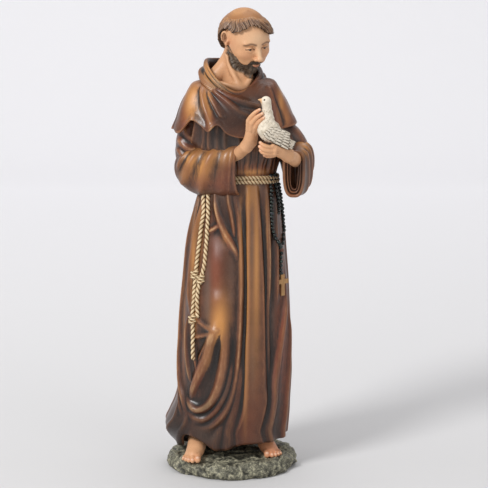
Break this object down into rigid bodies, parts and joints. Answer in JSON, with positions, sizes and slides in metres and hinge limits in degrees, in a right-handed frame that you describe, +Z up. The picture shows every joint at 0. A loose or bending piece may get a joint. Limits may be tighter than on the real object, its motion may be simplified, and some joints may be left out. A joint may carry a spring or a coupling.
{
  "type": "saint francis statue",
  "caption": "Small cast figure of a bearded friar in a hooded habit with rope belt and rosary, holding a dove, barefoot on a low slab of rock",
  "frame": {"origin": "middle of the rock base's flat underside", "axes": "+Z up, the figure looks along -Y, +X on the right of someone who faces it"},
  "size_m": [0.0845, 0.0735, 0.2599],
  "materials": {
    "robe": "brown hand-painted resin with a tan dry brush on the fold backs, a dark wash in the valleys and a satin varnish",
    "skin": "warm peach paint with a light brown wash, satin",
    "hair": "dark brown paint dry-brushed with grey, satin",
    "cord": "cream and gold paint on carved rope with a dark wash in its lay",
    "rosary": "black paint on small cast beads, satin",
    "cross": "golden tan paint with a dark edge",
    "dove": "off-white paint with a brown wash between the feathers",
    "rock": "dark grey paint dry-brushed with grey green and cream, matt"
  },
  "bodies": {
    "root": {"saint_francis_statue": "robe"}
  },
  "joints": []
}
